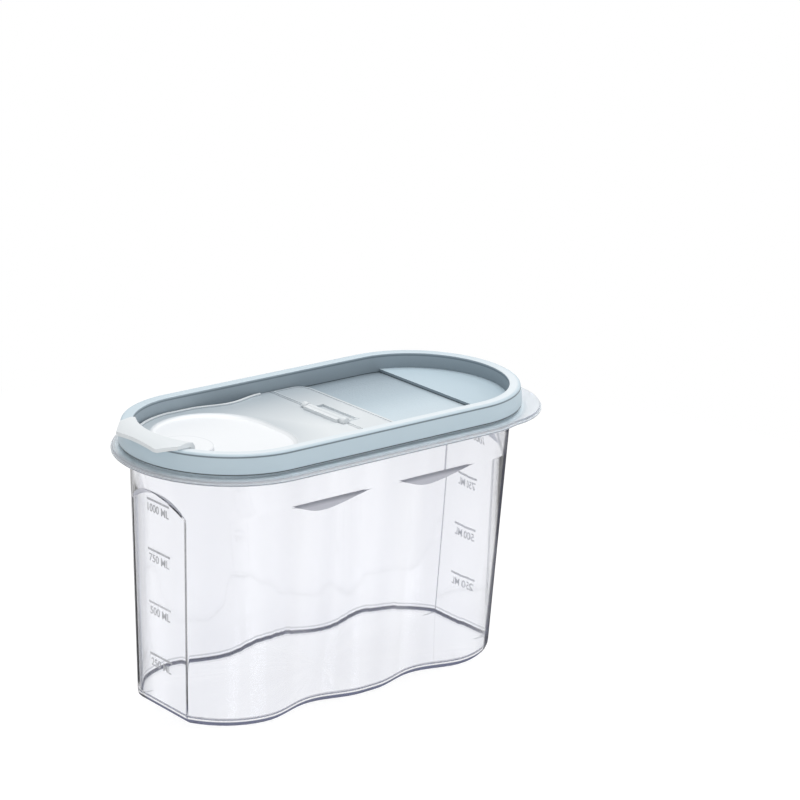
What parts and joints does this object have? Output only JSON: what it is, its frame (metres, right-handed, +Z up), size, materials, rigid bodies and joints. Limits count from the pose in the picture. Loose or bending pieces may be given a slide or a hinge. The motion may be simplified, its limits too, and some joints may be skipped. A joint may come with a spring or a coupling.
{
  "type": "cereal container with flip spout",
  "caption": "Clear tapered cereal container with a push-fit lid, a hinged flap with an oval plug, and a pouring lip over the rim.",
  "frame": {"origin": "on the floor plane, under the middle of the container's base", "axes": "+Z up, +X along the container from the pouring lip to the grip ledge, +Y to the left when looking along +X"},
  "size_m": [0.2061, 0.0958, 0.125],
  "materials": {
    "clear_plastic": "clear gloss",
    "lid_plastic": "matte",
    "white_plastic": "translucent satin"
  },
  "bodies": {
    "container": {"container_body": "clear_plastic"},
    "lid": {"lid_frame": "lid_plastic", "hinge_plate": "white_plastic"},
    "flap": {"spout_flap": "white_plastic"}
  },
  "joints": [
    {"name": "lid_lift", "type": "slide", "parent": "container", "child": "lid", "axis": [0, 0, 1], "range_m": [0, 0.04]},
    {"name": "flap_hinge", "type": "hinge", "parent": "lid", "child": "flap", "pos_m": [0, 0, 0.1159], "axis": [0, 1, 0], "range_deg": [0, 165]}
  ]
}
